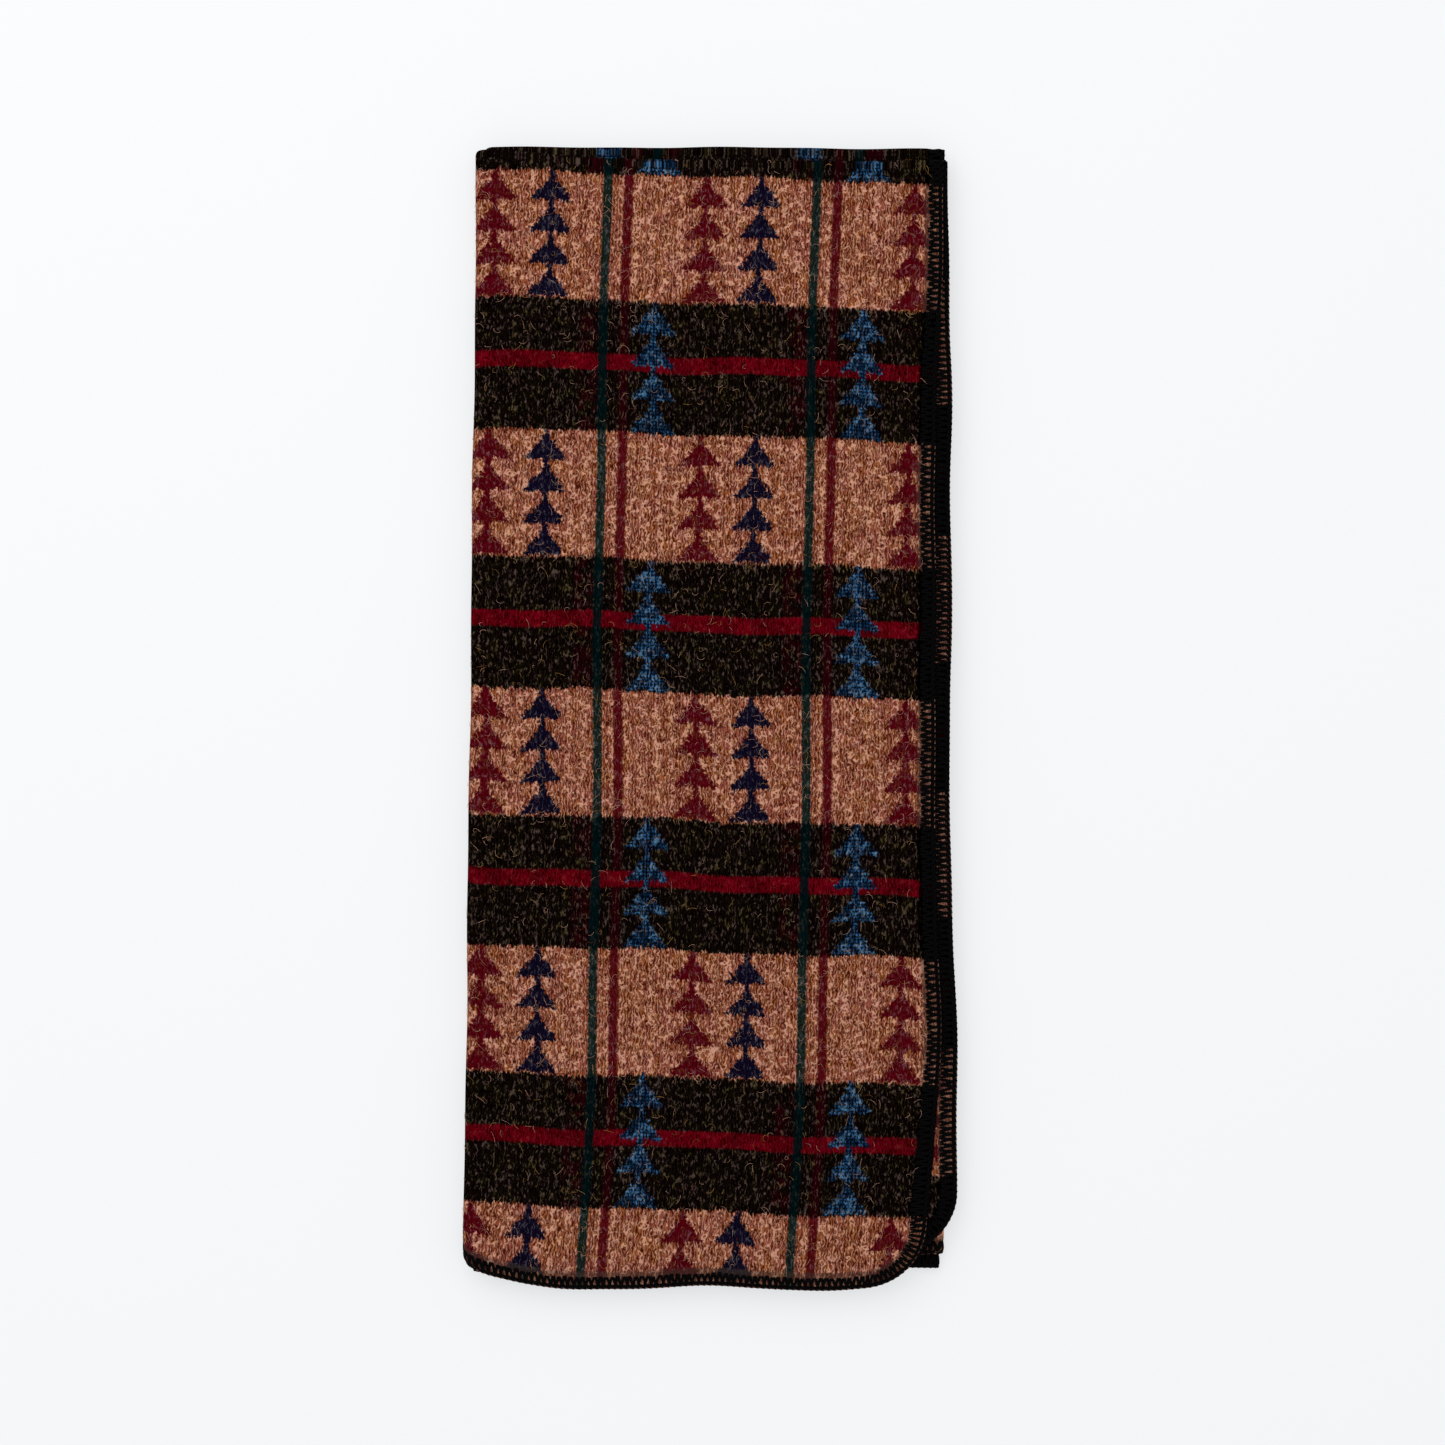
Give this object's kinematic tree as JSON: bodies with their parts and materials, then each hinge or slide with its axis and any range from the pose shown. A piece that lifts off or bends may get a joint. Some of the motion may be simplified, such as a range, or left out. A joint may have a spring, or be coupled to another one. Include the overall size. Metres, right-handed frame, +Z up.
{
  "type": "folded camp blanket",
  "caption": "Wool camp blanket with an overedge-stitched rim, folded three times into a long flat stack that opens at its last fold.",
  "frame": {"origin": "middle of the folded blanket's underside, on the surface it lies on", "axes": "+Z up, +Y along the folded blanket towards the top folds, +X across towards the raw side edges and the centre fold; the last fold is at -X and the hems are at -Y"},
  "size_m": [0.3314, 0.7696, 0.0248],
  "materials": {
    "wool_face": "napped wool, face side up: heathered tan and near-black bands, crimson, dark green and burgundy stripes, rows of stacked triangles, softly fuzzy",
    "wool_reverse": "the same napped wool, reverse side up, with the same tan and near-black bands mirrored through the cloth",
    "overedge_yarn": "heavy black overedge yarn, matt"
  },
  "bodies": {
    "lower_stack": {"panel_5": "wool_face", "panel_6": "wool_reverse", "panel_7": "wool_face", "panel_8": "wool_reverse", "top_fold_56": "wool_face", "top_fold_78": "wool_face", "centre_fold": "wool_face", "overedge_5": "overedge_yarn", "overedge_6": "overedge_yarn", "overedge_7": "overedge_yarn", "overedge_8": "overedge_yarn", "centre_fold_overedge": "overedge_yarn", "last_fold_outer": "wool_face", "last_fold_inner": "wool_reverse", "last_fold_overedge": "overedge_yarn"},
    "upper_stack": {"panel_1": "wool_face", "panel_2": "wool_reverse", "panel_3": "wool_face", "panel_4": "wool_reverse", "top_fold_12": "wool_face", "top_fold_34": "wool_face", "overedge_1": "overedge_yarn", "overedge_2": "overedge_yarn", "overedge_3": "overedge_yarn", "overedge_4": "overedge_yarn", "top_fold_overedge_12": "overedge_yarn", "top_fold_overedge_34": "overedge_yarn"}
  },
  "joints": [
    {"name": "last_fold", "type": "hinge", "parent": "lower_stack", "child": "upper_stack", "pos_m": [-0.15333, 0, 0.0124], "axis": [0, -1, 0], "range_deg": [0, 180], "deforming": ["last_fold_outer", "last_fold_inner", "last_fold_overedge"]}
  ]
}
